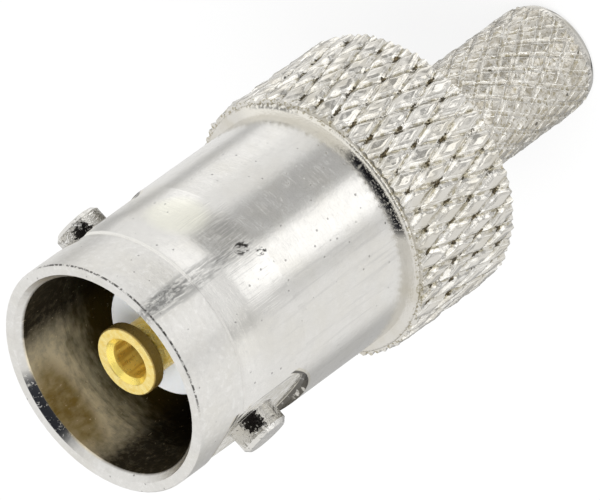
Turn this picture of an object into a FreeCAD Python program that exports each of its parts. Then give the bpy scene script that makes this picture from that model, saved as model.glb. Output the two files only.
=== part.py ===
import FreeCAD, Part
import Sketcher
import math
import os

# Coaxial bayonet socket for a crimped cable, standing on its stem with the mouth up.
# Millimetres. Z runs along the axis, the origin is the middle of the stem's end face.
# The lugs stand out along X.

doc = FreeCAD.newDocument("CoaxialSocket")
sheet = doc.addObject("Spreadsheet::Sheet", "Sizes")


# Sizes and what is worked out from them

class Length:
    # a number together with the sheet formula that gives it
    def __init__(self, value, formula):
        self.value = value
        self.formula = formula

    def __add__(self, other):
        other = as_length(other)
        return Length(self.value + other.value, f"({self.formula} + {other.formula})")

    def __sub__(self, other):
        other = as_length(other)
        return Length(self.value - other.value, f"({self.formula} - {other.formula})")


def as_length(number):
    return number if isinstance(number, Length) else Length(number, str(number))


class Sizes:
    # keeps each driving dimension as a Length and as a named cell of the sheet
    def __init__(self, values):
        for row, (name, value) in enumerate(values.items(), start=1):
            sheet.set(f"A{row}", name)
            sheet.set(f"B{row}", str(value))
            sheet.setAlias(f"B{row}", name)
            setattr(self, name, Length(value, f"Sizes.{name}"))


sizes = {
    # outside of the barrel, from the mouth down to the collar
    "barrel_length": 11.87,
    "barrel_radius": 4.875,
    "mouth_radius": 4.80,
    "mouth_edge": 0.05,
    "front_length": 2.45,
    "band_length": 3.50,
    "band_radius": 4.95,
    "band_front_radius": 4.90,
    "band_crown_radius": 28.0,
    "band_step": 0.06,
    "spigot_length": 3.4,
    "spigot_radius": 4.40,
    "spigot_chamfer": 0.2,
    # inside of the barrel
    "mouth_bore_radius": 4.15,
    "mouth_chamfer_width": 0.23,
    "mouth_chamfer_depth": 0.31,
    "cavity_depth": 8.4,
    "lip_thickness": 0.9,
    "seat_radius": 3.40,
    # bayonet lugs and the round flats milled about them
    "lug_depth": 3.9,
    "lug_radius": 1.0,
    "lug_tip": 5.42,
    "lug_chamfer": 0.16,
    "lug_root_in_wall": 0.18,
    "flat_height": 4.45,
    "flat_radius": 2.62,
    "flat_corner": 0.22,
    "cutter_overrun": 1.2,
    # collar, stem and what is inside them
    "collar_length": 5.59,
    "collar_radius": 5.53,
    "collar_shoulder_radius": 5.31,
    "collar_shoulder_length": 0.17,
    "collar_shoulder_round": 0.15,
    "collar_rim_length": 0.05,
    "collar_core_radius": 5.0,
    "stem_length": 9.10,
    "stem_radius": 2.32,
    "stem_plain_radius": 2.25,
    "stem_core_radius": 2.1,
    "stem_end_flat_radius": 1.85,
    "stem_end_height": 0.60,
    "stem_end_round": 0.66,
    "stem_knurl_start": 0.64,
    "stem_neck_length": 0.70,
    "cable_bore_radius": 1.55,
    "cable_bore_chamfer": 0.12,
    "tail_room_radius": 2.2,
    "tail_room_length": 2.4,
    # diamond knurls: grooves run both ways at an angle to the axis
    "collar_groove_depth": 0.15,
    "collar_pit_depth": 0.07,
    "collar_grooves": 41,
    "collar_groove_angle": 17.6,
    "collar_flat_share": 0.42,
    "collar_start_angle": 3.2,
    "stem_groove_depth": 0.055,
    "stem_pit_depth": 0.015,
    "stem_grooves": 20,
    "stem_groove_angle": 31.0,
    "stem_flat_share": 0.46,
    "stem_start_angle": 0.0,
    # insulators
    "insulator_recess": 3.30,
    "insulator_radius": 2.45,
    "insulator_edge": 0.05,
    "flange_length": 2.7,
    # centre contact
    "contact_recess": 1.34,
    "head_radius": 1.42,
    "head_length": 0.49,
    "head_edge": 0.05,
    "shank_radius": 1.08,
    "entry_radius": 1.0,
    "entry_depth": 0.22,
    "throat_radius": 0.80,
    "throat_length": 1.6,
    "grip_radius": 0.63,
    "grip_length": 4.2,
    "slot_width": 0.16,
    "slot_length": 3.2,
    "slot_below_face": 0.6,
    "tail_radius": 0.95,
    "tail_length": 5.0,
    "wire_cup_radius": 0.50,
    "wire_cup_depth": 2.6,
    # clearances between pieces
    "spigot_clearance": 0.02,
    "insulator_clearance": 0.02,
    "contact_clearance": 0.02,
}

size = Sizes(sizes)
zero = as_length(0)

# Heights and depths that several pieces share
mouth_height = size.stem_length + size.collar_length + size.barrel_length
spigot_end_height = size.stem_length + size.collar_length - size.spigot_length
flange_back_depth = size.cavity_depth + size.lip_thickness + size.flange_length
flange_back_height = mouth_height - flange_back_depth
flange_radius = size.seat_radius - size.insulator_clearance

doc.recompute()


# Sketches and features

def origin_feature(body, role):
    return next(item for item in body.Origin.OriginFeatures if item.Role == role)


def bind(sketch, constraint, length):
    sketch.addConstraint(constraint)
    sketch.setExpression(f"Constraints[{sketch.ConstraintCount - 1}]", length.formula)


def fix_corner(sketch, edge, across, up):
    # places the first point of an edge by its distances from the sketch origin
    if across is zero:
        sketch.addConstraint(Sketcher.Constraint("PointOnObject", edge, 1, -2))
    else:
        bind(sketch, Sketcher.Constraint("DistanceX", -1, 1, edge, 1, across.value), across)
    if up is zero:
        sketch.addConstraint(Sketcher.Constraint("PointOnObject", edge, 1, -1))
    else:
        bind(sketch, Sketcher.Constraint("DistanceY", -1, 1, edge, 1, up.value), up)


def bulging_arc(start, end, radius):
    # counter-clockwise arc, so it bulges to the right of the way from start to end
    chord = end - start
    half = chord.Length / 2
    left = FreeCAD.Vector(-chord.y, chord.x, 0).normalize()
    centre = (start + end) * 0.5 + left * math.sqrt(radius * radius - half * half)
    first = math.atan2(start.y - centre.y, start.x - centre.x)
    last = math.atan2(end.y - centre.y, end.x - centre.x)
    if last < first:
        last += 2 * math.pi
    circle = Part.Circle(centre, FreeCAD.Vector(0, 0, 1), radius)
    return Part.ArcOfCircle(circle, first, last)


def profile_sketch(body, name, corners):
    # closed outline in the XZ plane: each corner is (across, up) or (across, up, arc radius),
    # where the radius belongs to the edge that starts there
    sketch = body.newObject("Sketcher::SketchObject", name)
    sketch.AttachmentSupport = (origin_feature(body, "XZ_Plane"), "")
    sketch.MapMode = "FlatFace"
    points = [FreeCAD.Vector(corner[0].value, corner[1].value, 0) for corner in corners]
    for edge, corner in enumerate(corners):
        start, end = points[edge], points[(edge + 1) % len(points)]
        if len(corner) == 3:
            sketch.addGeometry(bulging_arc(start, end, corner[2].value), False)
        else:
            sketch.addGeometry(Part.LineSegment(start, end), False)
    for edge in range(len(corners)):
        following = (edge + 1) % len(corners)
        sketch.addConstraint(Sketcher.Constraint("Coincident", edge, 2, following, 1))
    for edge, corner in enumerate(corners):
        fix_corner(sketch, edge, corner[0], corner[1])
        if len(corner) == 3:
            bind(sketch, Sketcher.Constraint("Radius", edge, corner[2].value), corner[2])
    return sketch


def add_construction_axis(sketch, height):
    # line across the sketch at the given height, to turn a profile about
    start = FreeCAD.Vector(0, height.value, 0)
    end = FreeCAD.Vector(1, height.value, 0)
    edge = sketch.addGeometry(Part.LineSegment(start, end), True)
    sketch.addConstraint(Sketcher.Constraint("Horizontal", edge))
    sketch.addConstraint(Sketcher.Constraint("PointOnObject", edge, 1, -2))
    bind(sketch, Sketcher.Constraint("DistanceY", -1, 1, edge, 1, height.value), height)
    sketch.addConstraint(Sketcher.Constraint("DistanceX", edge, 1, edge, 2, 1.0))


def new_body(label, height=None):
    body = doc.addObject("PartDesign::Body", label)
    body.Label = label
    if height is not None:
        body.setExpression(".Placement.Base.z", height.formula)
    return body


def turned_body(label, corners, height=None):
    # body of revolution about its own Z axis
    body = new_body(label, height)
    sketch = profile_sketch(body, label + "_profile", corners)
    turning = body.newObject("PartDesign::Revolution", label + "_turning")
    turning.Profile = sketch
    turning.ReferenceAxis = (sketch, ["V_Axis"])
    turning.Angle = 360
    body.Tip = turning
    doc.recompute()
    return body


def repeat_about_axis(body, name, features, count):
    pattern = body.newObject("PartDesign::PolarPattern", name)
    pattern.Originals = features
    pattern.Axis = (origin_feature(body, "Z_Axis"), [""])
    pattern.Angle = 360
    pattern.Occurrences = count
    body.Tip = pattern
    doc.recompute()


# Barrel: turned shell, mouth up, its own Z starts at the spigot's end

def make_barrel():
    top = size.spigot_length + size.barrel_length
    band_top = top - size.front_length
    band_bottom = band_top - size.band_length
    floor = top - size.cavity_depth
    lip_hole = size.insulator_radius + size.insulator_clearance
    barrel = turned_body("barrel", [
        (size.seat_radius, zero),
        (size.spigot_radius - size.spigot_chamfer, zero),
        (size.spigot_radius, size.spigot_chamfer),
        (size.spigot_radius, size.spigot_length),
        (size.barrel_radius, size.spigot_length),
        (size.barrel_radius, band_bottom),
        (size.band_radius, band_bottom + size.band_step, size.band_crown_radius),
        (size.band_front_radius, band_top - size.band_step),
        (size.mouth_radius, band_top),
        (size.mouth_radius, top - size.mouth_edge),
        (size.mouth_radius - size.mouth_edge, top),
        (size.mouth_bore_radius + size.mouth_chamfer_width, top),
        (size.mouth_bore_radius, top - size.mouth_chamfer_depth),
        (size.mouth_bore_radius, floor),
        (lip_hole, floor),
        (lip_hole, floor - size.lip_thickness),
        (size.seat_radius, floor - size.lip_thickness),
    ], spigot_end_height)

    lug_height = top - size.lug_depth
    cutter_edge = lug_height + size.flat_radius
    cutter = profile_sketch(barrel, "barrel_flat_profile", [
        (size.flat_height, lug_height),
        (size.flat_height + size.cutter_overrun, lug_height),
        (size.flat_height + size.cutter_overrun, cutter_edge),
        (size.flat_height + size.flat_corner, cutter_edge, size.flat_corner),
        (size.flat_height, cutter_edge - size.flat_corner),
    ])
    add_construction_axis(cutter, lug_height)
    flat = barrel.newObject("PartDesign::Groove", "barrel_flat")
    flat.Profile = cutter
    flat.ReferenceAxis = (cutter, ["Axis0"])
    flat.Angle = 360
    doc.recompute()

    root = size.mouth_bore_radius + size.lug_root_in_wall
    stud = profile_sketch(barrel, "barrel_lug_profile", [
        (root, lug_height),
        (size.lug_tip, lug_height),
        (size.lug_tip, lug_height + size.lug_radius - size.lug_chamfer),
        (size.lug_tip - size.lug_chamfer, lug_height + size.lug_radius),
        (root, lug_height + size.lug_radius),
    ])
    add_construction_axis(stud, lug_height)
    lug = barrel.newObject("PartDesign::Revolution", "barrel_lug")
    lug.Profile = stud
    lug.ReferenceAxis = (stud, ["Axis0"])
    lug.Angle = 360
    doc.recompute()
    repeat_about_axis(barrel, "barrel_lugs", [flat, lug], 2)
    return barrel


# Diamond knurl, as the planar facets that two crossed sets of grooves leave

def knurled_solid(radius, groove_depth, pit_depth, grooves, groove_angle, flat_share, height):
    # rows of diamonds, each with a flat top, stand between z = 0 and the height
    pitch = 2 * math.pi / grooves
    rows = max(2, round(height * math.tan(math.radians(groove_angle)) / (radius * pitch / 2)))
    row_height = height / rows
    flat_share = min(flat_share, 0.48)
    groove_radius = radius - groove_depth
    pit_radius = groove_radius - pit_depth
    ridge_radius = radius - (0.5 - flat_share) / (1 - flat_share) * (groove_depth + pit_depth)

    def point(distance, turn, level):
        return FreeCAD.Vector(distance * math.cos(turn), distance * math.sin(turn), level)

    def facet(a, b, c):
        return Part.Face(Part.makePolygon([a, b, c, a]))

    def slope(row, centre, side, way):
        # one quarter of a diamond, between the pit beside its middle and the pit at its tip
        level = row_height * (row + 0.5)
        beside_pit = point(pit_radius, centre + side * pitch / 2, level)
        tip_pit = point(pit_radius, centre, level + way * row_height)
        groove = point(groove_radius, centre + side * pitch / 4, level + way * row_height / 2)
        ridge = point(ridge_radius, centre, level + way * row_height / 2)
        beside_top = point(radius, centre + side * flat_share * pitch / 2, level)
        tip_top = point(radius, centre, level + way * flat_share * row_height)
        if not 0 <= row < rows:
            return [facet(groove, tip_pit, ridge)]
        last = tip_pit if 0 <= row + way < rows else ridge
        return [facet(beside_pit, groove, beside_top), facet(groove, tip_top, beside_top),
                facet(groove, last, tip_top)]

    def flat_top(row, centre):
        level = row_height * (row + 0.5)
        left, right = [point(radius, centre + side * flat_share * pitch / 2, level) for side in (-1, 1)]
        tips = [point(radius, centre, level + way * flat_share * row_height) for way in (-1, 1)]
        return [facet(left, right, tip) for tip in tips]

    def end_face(level):
        # the knurl stops half way between two rows of pits, where grooves and ridges alternate
        outline = [point(groove_radius if step % 2 else ridge_radius, step * pitch / 4, level)
                   for step in range(4 * grooves)]
        return Part.Face(Part.makePolygon(outline + outline[:1]))

    facets = [end_face(0), end_face(height)]
    for row in range(-1, rows + 1):
        ways = [way for way in (-1, 1) if 0 <= row < rows or 0 <= row + way < rows]
        for step in range(grooves):
            centre = pitch * (step + (row % 2) / 2)
            for way in ways:
                facets += slope(row, centre, -1, way) + slope(row, centre, 1, way)
            if 0 <= row < rows:
                facets += flat_top(row, centre)
    shell = Part.makeShell(facets)
    shell.sewShape()
    solid = Part.makeSolid(Part.Shell(shell.Faces))
    if solid.Volume < 0:
        solid.reverse()
    return solid


def in_sheet(length):
    return float(sheet.evalExpression(length.formula))


def knurl_feature(prefix, bottom, height):
    names = ("radius", "groove_depth", "pit_depth", "grooves", "groove_angle", "flat_share")
    sizes = [in_sheet(getattr(size, f"{prefix}_{name}")) for name in names]
    sizes[names.index("grooves")] = round(sizes[names.index("grooves")])
    feature = doc.addObject("Part::Feature", prefix + "_knurl")
    feature.Shape = knurled_solid(*sizes, in_sheet(height))
    feature.setExpression(".Placement.Base.z", bottom.formula)
    feature.setExpression(".Placement.Rotation.Angle", getattr(size, prefix + "_start_angle").formula)
    return feature


# Crimp body: knurled collar over the barrel's spigot, and the knurled stem below it

def make_crimp_body():
    top = size.stem_length + size.collar_length
    knurl_bottom = size.stem_length + size.collar_rim_length
    shoulder_bottom = top - size.collar_shoulder_length
    stem_knurl_top = size.stem_length - size.stem_neck_length
    core_overlap = 0.1
    core = turned_body("crimp_core", [
        (zero, zero),
        (size.stem_end_flat_radius, zero, size.stem_end_round),
        (size.stem_plain_radius, size.stem_end_height),
        (size.stem_plain_radius, size.stem_knurl_start + core_overlap),
        (size.stem_core_radius, size.stem_knurl_start + core_overlap),
        (size.stem_core_radius, stem_knurl_top - core_overlap),
        (size.stem_plain_radius, stem_knurl_top - core_overlap),
        (size.stem_plain_radius, size.stem_length),
        (size.collar_shoulder_radius - size.collar_rim_length, size.stem_length),
        (size.collar_shoulder_radius, knurl_bottom),
        (size.collar_shoulder_radius, knurl_bottom + core_overlap),
        (size.collar_core_radius, knurl_bottom + core_overlap),
        (size.collar_core_radius, shoulder_bottom - core_overlap),
        (size.collar_shoulder_radius, shoulder_bottom - core_overlap),
        (size.collar_shoulder_radius, top - size.collar_shoulder_round, size.collar_shoulder_round),
        (size.collar_shoulder_radius - size.collar_shoulder_round, top),
        (zero, top),
    ])
    collar_knurl = knurl_feature("collar", knurl_bottom, shoulder_bottom - knurl_bottom)
    stem_knurl = knurl_feature("stem", size.stem_knurl_start, stem_knurl_top - size.stem_knurl_start)
    blank = doc.addObject("Part::MultiFuse", "crimp_blank")
    blank.Shapes = [core, collar_knurl, stem_knurl]

    spigot_bore_radius = size.spigot_radius + size.spigot_clearance
    spigot_floor = top - size.spigot_length
    tail_room_bottom = spigot_floor - size.tail_room_length
    bore = turned_body("crimp_bore", [
        (zero, zero),
        (size.cable_bore_radius + size.cable_bore_chamfer, zero),
        (size.cable_bore_radius, size.cable_bore_chamfer),
        (size.cable_bore_radius, tail_room_bottom),
        (size.tail_room_radius, tail_room_bottom),
        (size.tail_room_radius, spigot_floor),
        (spigot_bore_radius, spigot_floor),
        (spigot_bore_radius, top),
        (zero, top),
    ])
    crimp_body = doc.addObject("Part::Cut", "crimp_body")
    crimp_body.Label = "crimp_body"
    crimp_body.Base = blank
    crimp_body.Tool = bore
    doc.recompute()
    return crimp_body


# Front insulator: nose in the mouth, flange behind the barrel's lip

def make_front_insulator():
    length = flange_back_depth - size.insulator_recess
    bore = size.shank_radius + size.contact_clearance
    return turned_body("front_insulator", [
        (bore, zero),
        (flange_radius, zero),
        (flange_radius, size.flange_length),
        (size.insulator_radius, size.flange_length),
        (size.insulator_radius, length - size.insulator_edge),
        (size.insulator_radius - size.insulator_edge, length),
        (bore, length),
    ], flange_back_height)


# Rear insulator: bush between the flange and the floor of the collar's bore

def make_rear_insulator():
    length = flange_back_height - spigot_end_height
    bore = size.tail_radius + size.contact_clearance
    return turned_body("rear_insulator", [
        (bore, zero),
        (flange_radius, zero),
        (flange_radius, length),
        (bore, length),
    ], spigot_end_height)


# Centre contact: head, shank, shoulder on the rear insulator, and tail with its wire cup

def make_centre_contact():
    shoulder = size.tail_length
    top = size.tail_length + flange_back_depth - size.contact_recess
    throat_bottom = top - size.entry_depth - size.throat_length
    grip_bottom = throat_bottom - size.grip_length
    contact = turned_body("centre_contact", [
        (size.wire_cup_radius, zero),
        (size.tail_radius, zero),
        (size.tail_radius, shoulder),
        (size.shank_radius, shoulder),
        (size.shank_radius, top - size.head_length),
        (size.head_radius, top - size.head_length),
        (size.head_radius, top - size.head_edge),
        (size.head_radius - size.head_edge, top),
        (size.entry_radius, top),
        (size.throat_radius, top - size.entry_depth),
        (size.throat_radius, throat_bottom),
        (size.grip_radius, throat_bottom),
        (size.grip_radius, grip_bottom),
        (zero, grip_bottom),
        (zero, size.wire_cup_depth),
        (size.wire_cup_radius, size.wire_cup_depth),
    ], flange_back_height - size.tail_length)

    slot_top = size.tail_length + flange_back_depth - size.insulator_recess - size.slot_below_face
    slot_sketch = profile_sketch(contact, "centre_contact_slot_profile", [
        (zero, slot_top - size.slot_length),
        (size.head_radius, slot_top - size.slot_length),
        (size.head_radius, slot_top),
        (zero, slot_top),
    ])
    slot = contact.newObject("PartDesign::Pocket", "centre_contact_slot")
    slot.Profile = slot_sketch
    slot.Midplane = True
    slot.setExpression("Length", size.slot_width.formula)
    doc.recompute()
    repeat_about_axis(contact, "centre_contact_slots", [slot], 4)
    return contact


pieces = [
    make_barrel(),
    make_crimp_body(),
    make_front_insulator(),
    make_rear_insulator(),
    make_centre_contact(),
]
doc.recompute()

# Nothing is written unless every feature worked and every piece is one sound solid
for item in doc.Objects:
    faults = {"Invalid", "Error"} & set(item.State)
    if faults:
        raise RuntimeError(f"{item.Label} is {sorted(faults)}")
for piece in pieces:
    shape = piece.Shape
    if shape.isNull() or not shape.isValid() or len(shape.Solids) != 1 or shape.Volume <= 0:
        raise RuntimeError(f"{piece.Label} is not one sound solid")

os.makedirs("parts", exist_ok=True)
for piece in pieces:
    piece.Shape.exportStep(os.path.join("parts", piece.Label + ".step"))
    print(f"{piece.Label}: {piece.Shape.Volume:.2f} mm3, {len(piece.Shape.Faces)} faces")
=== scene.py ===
import bpy
import math
from mathutils import Matrix, Vector, noise


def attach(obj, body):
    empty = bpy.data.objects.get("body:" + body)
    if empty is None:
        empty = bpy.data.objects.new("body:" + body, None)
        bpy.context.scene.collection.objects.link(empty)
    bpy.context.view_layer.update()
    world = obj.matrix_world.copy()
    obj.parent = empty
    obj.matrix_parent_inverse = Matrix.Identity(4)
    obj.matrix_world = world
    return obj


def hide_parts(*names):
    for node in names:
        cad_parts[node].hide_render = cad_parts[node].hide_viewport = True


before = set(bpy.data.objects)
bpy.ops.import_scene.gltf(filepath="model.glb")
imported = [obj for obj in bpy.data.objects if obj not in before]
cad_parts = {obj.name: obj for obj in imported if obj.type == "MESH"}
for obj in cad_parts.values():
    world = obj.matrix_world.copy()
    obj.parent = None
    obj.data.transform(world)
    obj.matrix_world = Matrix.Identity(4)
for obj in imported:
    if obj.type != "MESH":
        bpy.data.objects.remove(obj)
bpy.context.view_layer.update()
print("socket loaded:", ", ".join(sorted(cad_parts)))

mm = 0.001
mouthHeight = 26.56   # millimetres up from the stem's end; depths are counted down from here
photoSide = 260       # direction of the side that the photo shows, in degrees round the axis
even = (1, 1, 1)      # stretch of a noise that is the same each way
roundTheAxis = (0.05, 0.05, 1)


class Wire:
    # a socket that can be added, multiplied and so on like a number
    def __init__(self, finish, socket):
        self.finish = finish
        self.socket = socket

    def maths(self, operation, *values):
        return self.finish.node("ShaderNodeMath", {"operation": operation}, dict(enumerate(values)))

    def __add__(self, other): return self.maths("ADD", self, other)
    def __radd__(self, other): return self.maths("ADD", other, self)
    def __sub__(self, other): return self.maths("SUBTRACT", self, other)
    def __rsub__(self, other): return self.maths("SUBTRACT", other, self)
    def __mul__(self, other): return self.maths("MULTIPLY", self, other)
    def __rmul__(self, other): return self.maths("MULTIPLY", other, self)
    def __truediv__(self, other): return self.maths("DIVIDE", self, other)
    def __rtruediv__(self, other): return self.maths("DIVIDE", other, self)
    def __pow__(self, other): return self.maths("POWER", self, other)
    def __rpow__(self, other): return self.maths("POWER", other, self)
    def __gt__(self, other): return self.maths("GREATER_THAN", self, other)
    def __lt__(self, other): return self.maths("LESS_THAN", self, other)
    def cos(self): return self.maths("COSINE", self)
    def abs(self): return self.maths("ABSOLUTE", self)
    def atLeast(self, other): return self.maths("MAXIMUM", self, other)
    def atMost(self, other): return self.maths("MINIMUM", self, other)
    def within(self, other): return self.maths("FLOORED_MODULO", self, other)

    def ease(self, low, high):
        # goes smoothly from 0 to 1 while this goes from low to high, which may lie the other way round
        start, end = (0.0, 1.0) if low < high else (1.0, 0.0)
        return self.finish.node("ShaderNodeMapRange", {"interpolation_type": "SMOOTHSTEP"},
                                {"Value": self, "From Min": min(low, high), "From Max": max(low, high),
                                 "To Min": start, "To Max": end})

    def window(self, centre, half, soft):
        # 1 within half of the centre, 0 beyond half + soft
        return (self - centre).abs().ease(half + soft, half)


class Finish:
    # the nodes of one material or world, in millimetres of the row's own frame
    def __init__(self, owner):
        owner.use_nodes = True
        self.owner = owner
        self.tree = owner.node_tree
        self.tree.nodes.clear()

    def node(self, kind, settings=None, inputs=None, output=0):
        made = self.tree.nodes.new(kind)
        for key, value in (settings or {}).items():
            setattr(made, key, value)
        for key, value in (inputs or {}).items():
            target = made.inputs[key]
            if isinstance(value, Wire):
                self.tree.links.new(value.socket, target)
            elif isinstance(value, tuple) and len(value) < len(target.default_value):
                target.default_value = (*value, 1)   # a colour and its alpha
            else:
                target.default_value = value
        return Wire(self, made.outputs[output]) if len(made.outputs) else None

    def parts(self, vector):
        return [self.node("ShaderNodeSeparateXYZ", None, {0: vector}, i) for i in range(3)]

    def place(self):
        # position in millimetres, and its parts
        metres = self.node("ShaderNodeTexCoord", output="Object")
        self.at = self.node("ShaderNodeVectorMath", {"operation": "SCALE"}, {0: metres, "Scale": 1 / mm})
        self.x, self.y, self.z = self.parts(self.at)
        self.depth = mouthHeight - self.z
        self.radius = (self.x * self.x + self.y * self.y) ** 0.5
        self.turn = self.node("ShaderNodeMath", {"operation": "ARCTAN2"}, {0: self.y, 1: self.x})

    def stretched(self, stretch):
        return self.node("ShaderNodeVectorMath", {"operation": "MULTIPLY"}, {0: self.at, 1: stretch})

    def noise(self, stretch, scale, detail, rough=0.5, distortion=0.0):
        return self.node("ShaderNodeTexNoise", None,
                         {"Vector": self.stretched(stretch), "Scale": scale, "Detail": detail,
                          "Roughness": rough, "Distortion": distortion})

    def cells(self, scale):
        # distance from the nearest of many scattered points
        return self.node("ShaderNodeTexVoronoi", None, {"Vector": self.stretched(even), "Scale": scale})

    def ahead(self, turn):
        # how far a point lies out from the axis in that direction
        return self.x * math.cos(turn) + self.y * math.sin(turn)

    def spot(self, seenAt, depth, across, along, soft):
        # mask for a patch on a round surface: seenAt is its angle from the side that the photo shows
        turn = math.radians(photoSide - seenAt)
        far = (self.ahead(turn + math.pi / 2) / across) ** 2 + ((self.depth - depth) / along) ** 2
        return far.ease(1.0 + soft, 1.0 - 0.5 * min(soft, 1.0)) * (self.ahead(turn) > 0)

    def facing(self, seenAt, half, soft):
        # mask for a sector round the axis, in degrees, wherever it is on the radius
        towards = self.ahead(math.radians(photoSide - seenAt)) / self.radius
        return towards.ease(math.cos(math.radians(half + soft)), math.cos(math.radians(half)))

    def mix(self, factor, first, second):
        # inputs 6 and 7 and output 2 are the colour ones
        return self.node("ShaderNodeMix", {"data_type": "RGBA"}, {0: factor, 6: first, 7: second}, 2)

    def bump(self, height):
        # height in millimetres
        return self.node("ShaderNodeBump", None, {"Strength": 1.0, "Distance": mm, "Height": height})

    def skin(self, **inputs):
        named = {key.replace("_", " "): value for key, value in inputs.items()}
        self.show(self.node("ShaderNodeBsdfPrincipled", None, named))

    def show(self, surface, kind="ShaderNodeOutputMaterial"):
        self.node(kind, None, {"Surface": surface})


def newFinish(name):
    return Finish(bpy.data.materials.new(name))


def wear(nodeName, finish):
    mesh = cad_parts[nodeName].data
    mesh.materials.clear()
    mesh.materials.append(finish.owner)


def anyOf(masks):
    covered = masks[0]
    for mask in masks[1:]:
        covered = covered.atLeast(mask)
    return covered


# nickel over turned brass; sizes in millimetres
barrel = {
    "nickel": (0.80, 0.79, 0.765),
    "warmNickel": (0.775, 0.76, 0.72),
    "haze": (0.66, 0.65, 0.63),
    "bright": (0.90, 0.89, 0.87),
    # the colour of a painted dark reflection along the axis
    "darkReflectionStreak": (0.34, 0.34, 0.33),
    "grit": (0.20, 0.20, 0.195),
    # the colour of a painted highlight
    "paintedCreamHighlight": (0.93, 0.925, 0.80),
    "paintedStepHighlight": (0.93, 0.92, 0.88),
    "mouthFilm": (0.98, 0.85, 0.59),
    "deepFilmAndShade": (0.13, 0.09, 0.02),
    "insideDarkReflection": (0.035, 0.026, 0.014),
    "tarnish": (0.27, 0.17, 0.010),
    "grimeAndPaintedShade": (0.035, 0.032, 0.03),
    "flatRim": (0.72, 0.68, 0.58),
    "milled": (0.48, 0.44, 0.33),
    "chamferFilm": (0.03, 0.033, 0.045),
    "roughness": 0.17,
    "frontRoughness": 0.27,
    # where the surfaces lie: depths down from the mouth, radii from the axis, rings about a lug
    "frontEnd": 2.45,
    "boreRadius": 4.19,
    "mouthEdge": 4.785,
    "chamferRadius": 4.265,
    "lugDepth": 3.9,
    "lugRing": 1.03,
    "lugFrom": 4.47,
    # the way the painted dark reflection on each lug lies
    "darkReflectionTowards": (0.86, 0.51),
    "flatHeight": 4.50,
    "flatHalfWidth": 2.1,
    "flatRing": 2.45,
    "rimRing": 2.59,
    "rimFrom": 4.40,
    # patches: angle from the side that the photo shows, depth, half across, half along, soft edge
    "darkReflectionPlace": (-12, 1.9, 0.40, 2.4, 1.2),
    "bandDarkReflectionPlace": (-20, 4.9, 1.2, 0.8, 1.2),
    "longStreakPlace": (30, 8.2, 2.6, 3.2, 0.8),
    "paintedHighlightPlace": (-42, 4.5, 1.0, 0.9, 1.2),
    "gritPlace": (-13, 1.1, 0.26, 1.15, 1.2),
    "markPlaces": [(-10.5, 5.1, 0.24, 0.32, 1.0), (-4.5, 5.75, 0.13, 0.24, 1.0)],
    "scuffPlaces": [(-6, 4.7, 2.4, 0.9, 1.0), (-30, 5.6, 1.0, 0.6, 1.0), (-30, 4.1, 1.3, 1.0, 1.0)],
    "tarnishPlace": (-181, 0.9, 1.5, 0.75, 1.4),
    # sectors: angle from the side that the photo shows, half, soft edge
    "edgeLineSector": (-22, 52, 14),
    "paintedStepHighlightSector": (-48, 30, 12),
    "paleReflectionSector": (184, 21, 27),
    "chamferFilmSector": (-175, 12, 12),
    # heights of the bump
    "turningLines": 0.0016,
    "turningWaves": 0.004,
    "shortCuts": 0.0011,
    "scuffs": 0.0024,
    "frontScuffs": 0.0024,
    "fine": 0.004,
    "frontFine": 0.006,
    "specks": 0.012,
    "marks": 0.03,
    "tears": 0.05,
    "lugCrumbs": 0.03,
    "milling": 0.02,
    "boreLines": 0.008,
    "bandRise": 0.10,
    # how far a surface leans, as a slope
    "frontLean": 0.065,
    "lugLean": 0.41,
    "flatLean": 0.45,
}


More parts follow.
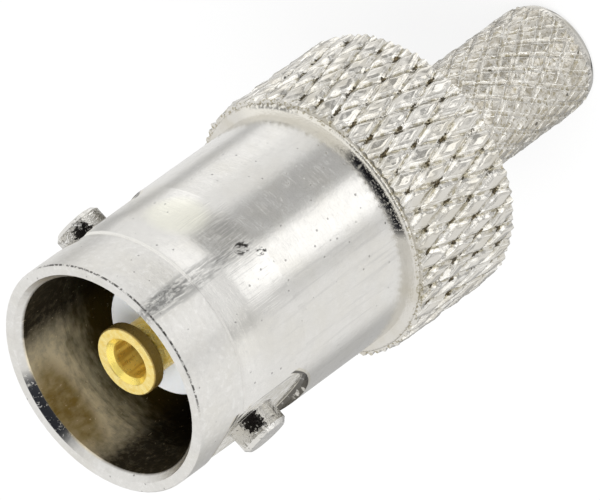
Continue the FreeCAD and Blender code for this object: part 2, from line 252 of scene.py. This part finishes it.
def makeBarrelFinish():
    f = newFinish("barrelNickel")
    f.place()
    front = f.depth.ease(barrel["frontEnd"] + 0.05, barrel["frontEnd"] - 0.03)
    inside = f.radius.ease(barrel["boreRadius"] + 0.07, barrel["boreRadius"]) * f.depth.ease(0.2, 0.34)
    lugRing = (f.y * f.y + (f.depth - barrel["lugDepth"]) ** 2) ** 0.5
    out = f.x.abs()
    lug = (out > barrel["lugFrom"]) * (lugRing < barrel["lugRing"])

    # soft patches of colour, and small clouds
    patches = f.noise(even, 0.45, 3.0)
    clouds = f.noise((1, 1, 0.5), 2.6, 4.0, 0.6)
    mottle = f.noise(even, 4.2, 5.0, 0.68)
    colour = f.mix(patches.ease(0.42, 0.66), barrel["nickel"], barrel["warmNickel"])
    colour = f.mix(clouds.ease(0.50, 0.75) * 0.30, colour, barrel["haze"])
    colour = f.mix(mottle.ease(0.50, 0.68) * (0.14 + front * 0.22), colour, barrel["haze"])
    colour = f.mix(mottle.ease(0.48, 0.34) * (0.2 + front * 0.4), colour, barrel["bright"])

    # a painted dark reflection, broken into streaks that run along the axis
    streaks = f.noise((3.4, 3.4, 0.5), 2.6, 4.0, 0.6).ease(0.36, 0.58)
    darkReflectionMask = f.spot(*barrel["darkReflectionPlace"]).atLeast(f.spot(*barrel["bandDarkReflectionPlace"]) * 0.4)
    colour = f.mix(darkReflectionMask * streaks * 0.7, colour, barrel["darkReflectionStreak"])
    # a painted highlight on the band
    colour = f.mix(f.spot(*barrel["paintedHighlightPlace"]) * 0.6, colour, barrel["paintedCreamHighlight"])
    # faint streaks that run along the axis further back
    longStreaks = f.noise((1.8, 1.8, 0.10), 1.8, 4.0, 0.6).ease(0.50, 0.72)
    colour = f.mix(longStreaks * f.spot(*barrel["longStreakPlace"]) * 0.7, colour, barrel["haze"])

    # grit, black marks and specks
    crumbs = f.noise((1.6, 1.6, 0.8), 5.5, 3.0, 0.65)
    colour = f.mix(f.spot(*barrel["gritPlace"]) * crumbs.ease(0.40, 0.58) * 0.75, colour, barrel["grit"])
    mark = anyOf([f.spot(*place) for place in barrel["markPlaces"]]) * crumbs.ease(0.50, 0.56)
    speck = f.cells(2.1).ease(0.11, 0.05)
    colour = f.mix(mark.atLeast(speck * 0.40), colour, barrel["grimeAndPaintedShade"])

    # dark line round the mouth's outer edge, and a painted highlight as a pale line where the front section
    # steps to the band
    edgeLine = f.radius.window(barrel["mouthEdge"], 0.02, 0.02) * f.depth.ease(0.085, 0.05)
    edgeLine = edgeLine * clouds.ease(0.36, 0.48) * crumbs.ease(0.40, 0.52)
    colour = f.mix(edgeLine * f.facing(*barrel["edgeLineSector"]) * 0.9, colour, barrel["grimeAndPaintedShade"])
    paintedStepHighlight = f.depth.window(barrel["frontEnd"], 0.03, 0.03) * (f.radius > 4.7)
    colour = f.mix(paintedStepHighlight * f.facing(*barrel["paintedStepHighlightSector"]) * 0.8, colour, barrel["paintedStepHighlight"])

    # lugs: torn by the cutter, each with a painted dark reflection as a black patch in one place, and black
    # specks
    tears = f.noise(even, 1.5, 2.0, 0.5, 0.4)
    towardsMouth, aside = barrel["darkReflectionTowards"]
    alongLug = (barrel["lugDepth"] - f.depth) * towardsMouth + f.y * aside
    lugDarkReflectionPlace = alongLug.window(0.12, 0.16, 0.45) * out.ease(5.40, 4.85)
    lugDarkReflection = (lugDarkReflectionPlace + (crumbs - 0.5) * 2.0).ease(0.52, 0.62) * mottle.ease(0.64, 0.57)
    colour = f.mix(lug * lugDarkReflection.atLeast(crumbs.ease(0.645, 0.675) * 0.8), colour, barrel["grimeAndPaintedShade"])

    # the flat milled round each lug is dull, with a pale rim and a broken dark line of painted shade at its
    # edge
    milled = (out < barrel["flatHeight"]) * (f.y.abs() < barrel["flatHalfWidth"])
    milled = milled * (lugRing < barrel["flatRing"]) * (lugRing > barrel["lugRing"]) * (f.depth > 2.5)
    colour = f.mix(milled * mottle.ease(0.40, 0.66) * 0.45, colour, barrel["milled"])
    rim = (out > barrel["rimFrom"]) * (out < 4.93) * lugRing.ease(2.36, 2.56) * (lugRing < 2.75)
    colour = f.mix(rim * clouds.ease(0.30, 0.55) * 0.8, colour, barrel["flatRim"])
    rimLine = lugRing.window(barrel["rimRing"], 0.035, 0.035) * (out > barrel["rimFrom"]) * (out < 4.97)
    colour = f.mix(rimLine * clouds.ease(0.34, 0.46) * 0.85, colour, barrel["grimeAndPaintedShade"])

    # inside the mouth the plating is bright near the edge and goes brown with depth, where the darkening is
    # painted shade
    insideNoise = f.noise((1, 1, 2.2), 1.1, 4.0, 0.6)
    deep = (f.depth + (insideNoise - 0.5) * 3.0).ease(1.6, 4.0)
    insideColour = f.mix(deep, barrel["mouthFilm"], barrel["deepFilmAndShade"])
    tarnish = f.spot(*barrel["tarnishPlace"]) * (0.58 + clouds.ease(0.30, 0.70) * 0.32)
    insideColour = f.mix(tarnish, insideColour, barrel["tarnish"])
    # a painted pale reflection lies in one sector of it, and a painted dark reflection makes the rest
    # nearly black
    black = 1.0 - f.facing(*barrel["paleReflectionSector"]) * (1.25 - insideNoise * 0.5) + (mottle - 0.5) * 0.9
    insideColour = f.mix((black * 0.97).atLeast(0.0).atMost(0.97), insideColour, barrel["insideDarkReflection"])
    insideColour = f.mix(crumbs.ease(0.66, 0.70) * 0.6, insideColour, barrel["mouthFilm"])
    colour = f.mix(inside, colour, insideColour)
    # black film on part of the mouth's chamfer
    chamfer = f.radius.window(barrel["chamferRadius"], 0.10, 0.03) * f.depth.ease(0.34, 0.30)
    chamfer = chamfer * clouds.ease(0.25, 0.40) * crumbs.ease(0.64, 0.60)
    colour = f.mix(chamfer * f.facing(*barrel["chamferFilmSector"]) * 0.96, colour, barrel["chamferFilm"])

    # turning lines round the axis, short cuts, lengthwise scuffs
    lines = f.noise(roundTheAxis, 14.0, 2.0) * barrel["turningLines"]
    waves = f.noise((0.02, 0.02, 1), 3.0, 1.0) * barrel["turningWaves"]
    cuts = f.noise((0.10, 0.10, 1), 22.0, 1.0).ease(0.58, 0.70) * clouds.ease(0.40, 0.60)
    scuffed = anyOf([f.spot(*place) for place in barrel["scuffPlaces"]])
    scuffs = f.noise((4.0, 4.0, 0.12), 5.0, 1.0).ease(0.54, 0.70) * scuffed * barrel["scuffs"]
    frontScuffs = f.noise((3.6, 3.6, 0.5), 5.2, 2.0) * front * barrel["frontScuffs"]
    fine = mottle * (barrel["fine"] + front * barrel["frontFine"])
    height = lines + waves - cuts * barrel["shortCuts"] - scuffs + frontScuffs + fine
    height = height - speck * barrel["specks"] + mark * barrel["marks"]
    # the front section leans a little to the mouth, and so does the band's front edge
    height = height + f.depth.atMost(barrel["frontEnd"]) * barrel["frontLean"]
    height = height + f.depth.ease(2.2, 4.0) * barrel["bandRise"]
    lugHeight = out * barrel["lugLean"] + crumbs * barrel["lugCrumbs"]
    height = height + lug * (lugHeight - tears.ease(0.50, 0.62) * barrel["tears"])
    height = height + milled * (f.y * barrel["flatLean"] + mottle * barrel["milling"])
    height = height + inside * f.noise((0.08, 0.08, 1), 12.0, 2.0) * barrel["boreLines"]

    rough = barrel["roughness"] + clouds * 0.08 + front * (barrel["frontRoughness"] - barrel["roughness"])
    rough = rough + inside * 0.08 - lug * 0.12
    f.skin(Base_Color=colour, Metallic=1.0 - inside * 0.13, Roughness=rough, Normal=f.bump(height))
    return f


wear("barrel", makeBarrelFinish())
print("barrel finished")


# nickel over knurled brass; sizes in millimetres, heights up from the stem's end
crimp = {
    "nickel": (0.75, 0.73, 0.685),
    "warmNickel": (0.68, 0.65, 0.58),
    "stemNickel": (0.47, 0.435, 0.365),
    "olive": (0.34, 0.30, 0.19),
    "pit": (0.045, 0.036, 0.018),
    "brown": (0.10, 0.072, 0.03),
    "shade": (0.36, 0.34, 0.30),
    "jointDarkReflection": (0.025, 0.025, 0.03),
    "paintedCreamHighlight": (0.95, 0.92, 0.84),
    "burr": (0.95, 0.94, 0.90),
    "roughness": 0.08,
    "stemRoughness": 0.12,
    # heights of the bump
    "grain": 0.002,
    "stemGrain": 0.014,
    "fineGrain": 0.003,
    "shoulderGrain": 0.02,
    # knurled lengths: grooves round the axis and rows of diamonds, depths and heights of what is on
    # them, mesh columns for each groove and rings for each row, strength of the painted highlight and
    # shade beside the grooves, and of the dirt and painted pit shade in the finish
    "collar": {"bottom": 9.15, "top": 14.52, "radius": 5.53, "grooves": 41, "rows": 4, "start": 3.2,
               "groove": 0.15, "pit": 0.07, "flank": 0.60, "burr": 0.046, "hammer": 0.060, "tilt": 0.17,
               "columns": 22, "rings": 11, "pale": 0.9, "dirtAndPitShade": 1.0},
    "stem": {"bottom": 0.64, "top": 8.40, "radius": 2.32, "grooves": 20, "rows": 13, "start": 0.0,
             "groove": 0.065, "pit": 0.015, "flank": 0.45, "burr": 0.030, "hammer": 0.040, "tilt": 0.08,
             "columns": 14, "rings": 7, "pale": 1.0, "dirtAndPitShade": 0.0},
    # burrs beside a groove: how far off it, from 0 to 1 at the middle of a diamond, and how wide
    "burrOff": 0.36,
    "burrWidth": 0.07,
    "innerBurrOff": 0.68,
    "innerBurrWidth": 0.08,
    # plain lengths, as radius and height
    "stemEnd": [(1.67, 0.0), (1.85, 0.0), (2.02, 0.07), (2.15, 0.20), (2.22, 0.38), (2.25, 0.60)],
    "neck": [(2.25, 8.42), (2.25, 9.10)],
    "collarBack": [(5.26, 9.10), (5.30, 9.14)],
    "shoulder": [(5.31, 14.53), (5.30, 14.59), (5.25, 14.65), (5.16, 14.69), (4.42, 14.69)],
    "bore": [(4.42, 11.29), (2.20, 11.29), (2.20, 8.89), (1.55, 8.89), (1.55, 0.12)],
    "boreColumns": 120,
    "sharpAngle": 38,
    # where the finish changes
    "shoulderFrom": 14.56,
    "shoulderRadius": 4.85,
    "paintedHighlightSector": (-32, 40, 14),
    "jointDarkReflectionSector": (5, 17, 8),
    "sideJointDarkReflectionSector": (-60, 5, 11),
}


def knurlPhases(knurl, turn, z):
    # two angles, each an odd multiple of pi along one set of grooves
    rise = math.pi * knurl["rows"] / (knurl["top"] - knurl["bottom"])
    turned = (turn - math.radians(knurl["start"])) * knurl["grooves"]
    up = (z - knurl["bottom"]) * rise - math.pi / 2
    return turned + up, turned - up


def bell(value, centre, width):
    return math.exp(-((value - centre) / width) ** 2)


def knurlRadius(knurl, turn, z):
    # grooves with raised burrs beside them, on slightly hammered diamonds
    here = Vector((math.cos(turn), math.sin(turn), z / knurl["radius"])) * knurl["radius"]
    wobble = noise.noise(here * 0.9) * 0.25
    phases = [(phase + wobble) / (2 * math.pi) for phase in knurlPhases(knurl, turn, z)]
    cell = [math.floor(phase + 0.5) % knurl["grooves"] for phase in phases]
    dips, burr, tilt = [], 0.0, 0.0
    for way, phase in enumerate(phases):
        across = (phase + 0.5) % 1.0 - 0.5
        off = 1 - abs(2 * across)
        # each diamond leans its own way
        tilt += across * noise.cell(Vector((cell[0] + 0.5, cell[1] + 0.5, way * 7 + 0.5)))
        dips.append(max(0.0, 1 - off / knurl["flank"]))
        strength = 0.55 + noise.noise(here * 1.7 + Vector((way * 9.0, 0, 0)))
        burr = max(burr, strength * bell(off, crimp["burrOff"], crimp["burrWidth"]))
        burr = max(burr, 0.6 * (strength - 0.3) * bell(off, crimp["innerBurrOff"], crimp["innerBurrWidth"]))
    hammer = noise.noise(here * 2.3) + 0.5 * noise.noise(here * 6.0)
    fall = knurl["groove"] * max(dips) + knurl["pit"] * dips[0] * dips[1]
    rise = knurl["burr"] * burr + knurl["hammer"] * (hammer - 0.4) * 0.5
    rise += knurl["tilt"] * tilt * (1 - max(dips))
    return knurl["radius"] - fall + rise


def bridge(lower, upper):
    # faces between two rings of vertex numbers, whatever their counts
    if len(lower) == len(upper):
        count = len(lower)
        return [(lower[k], lower[(k + 1) % count], upper[(k + 1) % count], upper[k]) for k in range(count)]
    faces, i, j = [], 0, 0
    while i < len(lower) or j < len(upper):
        if j == len(upper) or (i < len(lower) and (i + 1) * len(upper) <= (j + 1) * len(lower)):
            faces.append((lower[i], lower[(i + 1) % len(lower)], upper[j % len(upper)]))
            i += 1
        else:
            faces.append((lower[i % len(lower)], upper[(j + 1) % len(upper)], upper[j]))
            j += 1
    return faces


def makeCrimpBody():
    points, rings = [], []

    def addRing(radii, z):
        rings.append(list(range(len(points), len(points) + len(radii))))
        for column, radius in enumerate(radii):
            turn = 2 * math.pi * column / len(radii)
            points.append((radius * math.cos(turn) * mm, radius * math.sin(turn) * mm, z * mm))

    def addPlain(profile, columns):
        for radius, z in profile:
            addRing([radius] * columns, z)

    def addKnurl(knurl, columns):
        turns = [2 * math.pi * column / columns for column in range(columns)]
        count = knurl["rows"] * knurl["rings"]
        for ring in range(count + 1):
            z = knurl["bottom"] + (knurl["top"] - knurl["bottom"]) * ring / count
            addRing([knurlRadius(knurl, turn, z) for turn in turns], z)

    stem, collar = crimp["stem"], crimp["collar"]
    stemColumns = stem["grooves"] * stem["columns"]
    collarColumns = collar["grooves"] * collar["columns"]
    addPlain(crimp["stemEnd"], stemColumns)
    addKnurl(stem, stemColumns)
    addPlain(crimp["neck"], stemColumns)
    addPlain(crimp["collarBack"], collarColumns)
    addKnurl(collar, collarColumns)
    addPlain(crimp["shoulder"], collarColumns)
    addPlain(crimp["bore"], crimp["boreColumns"])

    faces = []
    for lower, upper in zip(rings, rings[1:] + rings[:1]):
        faces += bridge(lower, upper)
    mesh = bpy.data.meshes.new("crimpBody")
    mesh.from_pydata(points, [], faces)
    mesh.set_sharp_from_angle(angle=math.radians(crimp["sharpAngle"]))
    body = bpy.data.objects.new("crimpBody", mesh)
    bpy.context.scene.collection.objects.link(body)
    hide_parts("crimp_body")
    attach(body, "root")
    return body


def makeCrimpFinish():
    f = newFinish("crimpNickel")
    f.place()
    collar, stem = crimp["collar"], crimp["stem"]
    onCollar = (f.z > collar["bottom"]) * (f.z < collar["top"]) * (f.radius > 5.0)
    onStem = (f.z > stem["bottom"]) * (f.z < stem["top"]) * (f.radius > 2.0)
    patches = f.noise(even, 0.8, 3.0)
    grimeAndPaintedShade = f.noise(even, 3.5, 3.0, 0.6)
    crumbs = f.noise(even, 7.0, 3.0, 0.65)
    chance = f.noise(even, 1.6, 1.0)
    colour = f.mix(patches.ease(0.4, 0.7), crimp["nickel"], crimp["warmNickel"])
    # the stem is duller, with olive dirt, polished places and black specks
    colour = f.mix(onStem * (0.40 + grimeAndPaintedShade.ease(0.42, 0.62) * 0.6), colour, crimp["stemNickel"])
    colour = f.mix(onStem * crumbs.ease(0.57, 0.64) * grimeAndPaintedShade.ease(0.46, 0.58) * 0.7, colour, crimp["olive"])
    colour = f.mix(onStem * chance.ease(0.50, 0.66) * crumbs.ease(0.60, 0.44) * 0.45, colour, crimp["burr"])
    colour = f.mix(onStem * f.cells(1.3).ease(0.13, 0.09) * 0.8, colour, crimp["pit"])

    wobble = (patches - 0.5) * 0.9 + (grimeAndPaintedShade - 0.5) * (0.3 + onStem * 2.2)
    clumps = (crumbs - 0.5) * 2.2 + (chance.atLeast(0.43) - 0.5) * 2.4
    for on, knurl in ((onCollar, collar), (onStem, stem)):
        first, second = [(phase + wobble).cos() for phase in knurlPhases(knurl, f.turn, f.z)]
        # painted highlight on the burrs beside the grooves, and a painted shade on the flank above them
        burrs = first.window(-0.50, 0.06, 0.12).atLeast(second.window(-0.50, 0.06, 0.12))
        colour = f.mix(on * burrs * crumbs.ease(0.40, 0.56) * knurl["pale"], colour, crimp["burr"])
        shades = first.window(-0.16, 0.04, 0.10).atLeast(second.window(-0.16, 0.04, 0.10))
        colour = f.mix(on * shades * grimeAndPaintedShade.ease(0.44, 0.56) * 0.55 * knurl["pale"], colour, crimp["shade"])
        # olive dirt here and there along the grooves, and black and brown where they cross: dirt with
        # painted shade in the pits
        groove = first.atMost(second).ease(-0.84, -0.97) * grimeAndPaintedShade.ease(0.44, 0.60)
        colour = f.mix(on * groove * (0.3 + 0.45 * knurl["dirtAndPitShade"]), colour, crimp["olive"])
        crossing = (first * 1.50 + second * 0.50 + clumps).ease(-1.70, -1.86)
        pit = f.mix(crumbs.ease(0.40, 0.56), crimp["pit"], crimp["brown"])
        colour = f.mix(on * crossing * (0.15 + 0.8 * knurl["dirtAndPitShade"]), colour, pit)

    # shoulder next to the barrel: a painted cream highlight on one side, and black painted dark reflection
    # in the joint on the other
    shoulder = (f.z > crimp["shoulderFrom"]) * (f.radius > crimp["shoulderRadius"])
    colour = f.mix(shoulder * f.facing(*crimp["paintedHighlightSector"]) * 0.7, colour, crimp["paintedCreamHighlight"])
    joint = f.facing(*crimp["jointDarkReflectionSector"]) * (f.radius + (crumbs - 0.5) * 0.5).ease(5.20, 5.12)
    sideJoint = f.facing(*crimp["sideJointDarkReflectionSector"]) * f.radius.ease(5.10, 5.20) * crumbs.ease(0.36, 0.60)
    joint = joint.atLeast(sideJoint * 0.7) * crumbs.ease(0.38, 0.47)
    colour = f.mix(shoulder * joint, colour, crimp["jointDarkReflection"])
    edge = f.radius.ease(5.20, 5.28) * (f.z > 14.48) * crumbs.ease(0.52, 0.60)
    colour = f.mix(edge * 0.75, colour, crimp["olive"])

    height = crumbs * (crimp["grain"] + onStem * crimp["stemGrain"])
    height = height + f.noise(even, 14.0, 2.0) * crimp["fineGrain"]
    height = height + shoulder * crumbs * crimp["shoulderGrain"]
    rough = crimp["roughness"] + grimeAndPaintedShade * 0.12 + onStem * (crimp["stemRoughness"] - crimp["roughness"])
    f.skin(Base_Color=colour, Metallic=1.0, Roughness=rough, Normal=f.bump(height))
    return f


crimpBody = makeCrimpBody()
crimpBody.data.materials.append(makeCrimpFinish().owner)
print("crimp body made:", len(crimpBody.data.polygons), "faces")


# white fluoroplastic, turned
insulator = {
    "white": (0.90, 0.90, 0.90),
    "shade": (0.85, 0.85, 0.86),
    "roughness": 0.45,
    "milkiness": 0.15,
    "turningLines": 0.002,
    "grain": 0.002,
}


def makeInsulatorFinish():
    f = newFinish("insulatorWhite")
    f.place()
    lines = f.noise(roundTheAxis, 10.0, 2.0) * insulator["turningLines"]
    height = lines + f.noise(even, 6.0, 3.0) * insulator["grain"]
    colour = f.mix(f.noise(even, 0.9, 2.0), insulator["white"], insulator["shade"])
    f.skin(Base_Color=colour, Roughness=insulator["roughness"], Subsurface_Weight=insulator["milkiness"],
           Normal=f.bump(height))
    return f


insulatorFinish = makeInsulatorFinish()
wear("front_insulator", insulatorFinish)
wear("rear_insulator", insulatorFinish)
print("insulators finished")


# gold over brass; sizes in millimetres
contact = {
    "gold": (1.0, 0.83, 0.34),
    "deepGold": (0.93, 0.69, 0.19),
    "boreGold": (1.0, 0.80, 0.20),
    "boreShade": (0.62, 0.42, 0.07),
    "headSide": (0.21, 0.115, 0.012),
    "neckDark": (0.72, 0.48, 0.05),
    "roughness": 0.24,
    "headFrom": 1.36,
    "headTo": 1.40,
    "headEnd": 1.9,
    "neckRadius": 0.95,
    "boreRadius": 0.99,
    "boreFrom": 1.36,
    "turningLines": 0.012,
    "grain": 0.006,
}


def makeContactFinish():
    f = newFinish("contactGold")
    f.place()
    headSide = f.radius.ease(contact["headFrom"], contact["headTo"]) * (f.depth < contact["headEnd"])
    neck = (f.depth > contact["headEnd"]) * (f.radius > contact["neckRadius"])
    bore = (f.radius < contact["boreRadius"]) * (f.depth > contact["boreFrom"])
    mottle = f.noise(even, 5.0, 4.0, 0.6)
    colour = f.mix(mottle.ease(0.35, 0.7), contact["gold"], contact["deepGold"])
    # dark bands of painted reflection down the bore, a brown painted dark reflection round the head's side,
    # a deeper gold on the neck
    bands = f.noise((1.6, 1.6, 0.1), 1.5, 2.0, 0.6).ease(0.44, 0.60) * f.depth.ease(1.60, 1.75)
    colour = f.mix(bore, colour, f.mix(bands, contact["boreGold"], contact["boreShade"]))
    colour = f.mix(headSide * 0.85, colour, contact["headSide"])
    colour = f.mix(neck * (0.5 + mottle.ease(0.42, 0.62) * 0.5), colour, contact["neckDark"])
    metal = 1.0 - bore * 0.35 - headSide * 0.55 - neck * 0.45
    height = f.noise(roundTheAxis, 9.0, 2.0) * contact["turningLines"] + mottle * contact["grain"]
    f.skin(Base_Color=colour, Metallic=metal, Roughness=contact["roughness"] + mottle * 0.08,
           Normal=f.bump(height))
    return f


wear("centre_contact", makeContactFinish())
print("centre contact finished")


# the studio, in metres
studio = {
    "floorHalf": 1.5,
    "paper": (0.93, 0.93, 0.93),
    "floorGlow": 0.8,
    "middle": 0.013,
    "domeRadius": 0.9,
    "domeTint": (1.0, 0.995, 0.985),
    "domeLight": 0.919,
    # soft boxes and flags: azimuth, half width, soft edge, elevation, half height, soft edge, added light
    "boxes": [
        # seen in the barrel's wall, at the place in the photo that is given
        (258, 14.5, 6, -44, 9, 4, 0.54),          # light along its middle
        (7, 13.6, 9, -54, 14, 4, 0.44),           # light to its upper left
        (296.5, 15, 13, -38, 5, 4, -0.50),        # dark between the two
        (25.8, 5.9, 6, -37, 30, 6, -0.37),        # dark near its upper left edge
        (227.5, 3.2, 6, -37, 20, 6, -0.21),       # narrow and dark, right of its middle
        (112.5, 20.5, 21, -37, 30, 10, -0.38),    # dark towards its lower right edge
        # seen in sloped faces, such as the knurls'
        (305, 10, 8, -20, 6, 5, 0.20),
        (250, 25, 8, -21, 5, 4, -0.22),
        (250, 36, 8, -1, 8, 5, 0.50),
        (260, 34, 12, 38, 22, 10, -0.60),         # dark room behind the camera
        (260, 90, 10, -14, 3, 3, 0.45),
        (260, 90, 10, -7, 1.5, 2, -0.45),
        (0, 180, 12, -62, 2, 3, -0.45),
        (0, 180, 12, -85, 8, 8, -0.30),
    ],
    "skyLight": 0.75,
    "lampPlace": (-0.15, -0.25, 0.45),
    "lampSize": 0.35,
    "lampPower": 2.2,
    # the camera stands where the photo was taken from
    "lens": 583.74,
    "sensor": 36.0,
    "cameraPlace": (-0.051031, -0.286967, 0.237755),
    "cameraRight": (-0.66382, -0.38105, -0.64354),
    "cameraUp": (0.73503, -0.49129, -0.46729),
    "cameraBack": (-0.13810, -0.78322, 0.60622),
}
white = (1, 1, 1)


def makeFloor():
    # nearly white to the camera, with the socket's shadow; clear from below
    half = studio["floorHalf"]
    mesh = bpy.data.meshes.new("floor")
    corners = [(-half, -half, 0), (half, -half, 0), (half, half, 0), (-half, half, 0)]
    mesh.from_pydata(corners, [], [(0, 1, 2, 3)])
    floor = bpy.data.objects.new("floor", mesh)
    bpy.context.scene.collection.objects.link(floor)
    f = newFinish("floorWhite")
    seen = f.node("ShaderNodeLightPath", output="Is Camera Ray")
    under = f.node("ShaderNodeNewGeometry", output="Backfacing")
    paper = f.node("ShaderNodeBsdfDiffuse", None, {"Color": studio["paper"]})
    glow = f.node("ShaderNodeEmission", None, {"Color": white, "Strength": 1.0})
    clear = f.node("ShaderNodeBsdfTransparent")
    top = f.node("ShaderNodeMixShader", None, {0: seen * studio["floorGlow"], 1: paper, 2: glow})
    f.show(f.node("ShaderNodeMixShader", None, {0: under, 1: top, 2: clear}))
    mesh.materials.append(f.owner)
    floor.visible_glossy = False


def makeDome():
    # seen only in reflections: a pale room with soft boxes and flags
    bpy.ops.mesh.primitive_uv_sphere_add(segments=64, ring_count=32, radius=studio["domeRadius"],
                                         location=(0, 0, studio["middle"]))
    dome = bpy.context.object
    dome.name = "studioDome"
    for polygon in dome.data.polygons:
        polygon.use_smooth = True
    f = newFinish("studioDome")
    x, y, z = f.parts(f.node("ShaderNodeNewGeometry", output="Position"))
    degrees = 180 / math.pi
    azimuth = f.node("ShaderNodeMath", {"operation": "ARCTAN2"}, {0: y, 1: x}) * degrees
    azimuth = (azimuth + 360.0).within(360.0)
    sine = (z - studio["middle"]) / studio["domeRadius"]
    elevation = f.node("ShaderNodeMath", {"operation": "ARCSINE"}, {0: sine}) * degrees
    light = studio["domeLight"]
    for centre, half, soft, height, halfHeight, softHeight, added in studio["boxes"]:
        turned = ((azimuth - (centre - 180.0)) / 360.0).within(1.0) * 360.0
        patch = turned.window(180.0, half, soft) * elevation.window(height, halfHeight, softHeight)
        light = light + patch * added
    colour = f.node("ShaderNodeVectorMath", {"operation": "SCALE"}, {0: studio["domeTint"], "Scale": light})
    f.show(f.node("ShaderNodeEmission", None, {"Color": colour, "Strength": 1.0}))
    dome.data.materials.append(f.owner)
    dome.visible_camera = False
    dome.visible_diffuse = False
    dome.visible_shadow = False
    dome.visible_transmission = False


def makeWorld():
    world = bpy.data.worlds.new("studioWorld")
    bpy.context.scene.world = world
    f = Finish(world)
    rays = ("Is Camera Ray", "Is Glossy Ray", "Is Transmission Ray")
    seen = anyOf([f.node("ShaderNodeLightPath", output=ray) for ray in rays])
    sky = f.node("ShaderNodeBackground", None, {"Color": white, "Strength": studio["skyLight"]})
    back = f.node("ShaderNodeBackground", None, {"Color": white, "Strength": 1.0})
    f.show(f.node("ShaderNodeMixShader", None, {0: seen, 1: sky, 2: back}), "ShaderNodeOutputWorld")


def makeLamp():
    lamp = bpy.data.lights.new("keyLamp", "AREA")
    lamp.shape = "DISK"
    lamp.size = studio["lampSize"]
    lamp.energy = studio["lampPower"]
    holder = bpy.data.objects.new("keyLamp", lamp)
    place = Vector(studio["lampPlace"])
    holder.location = place
    holder.rotation_mode = "QUATERNION"
    holder.rotation_quaternion = (Vector((0, 0, studio["middle"])) - place).to_track_quat("-Z", "Y")
    holder.visible_glossy = False
    bpy.context.scene.collection.objects.link(holder)


def makeCamera():
    camera = bpy.data.cameras.new("camera")
    camera.sensor_width = studio["sensor"]
    camera.lens = studio["lens"]
    holder = bpy.data.objects.new("camera", camera)
    sides = [Vector(studio[side]) for side in ("cameraRight", "cameraUp", "cameraBack")]
    turned = Matrix(sides).transposed().to_4x4()
    holder.matrix_world = Matrix.Translation(Vector(studio["cameraPlace"])) @ turned
    bpy.context.scene.collection.objects.link(holder)
    bpy.context.scene.camera = holder


makeFloor()
makeDome()
makeWorld()
makeLamp()
makeCamera()
bpy.context.scene.view_settings.view_transform = "Standard"
print("studio ready")
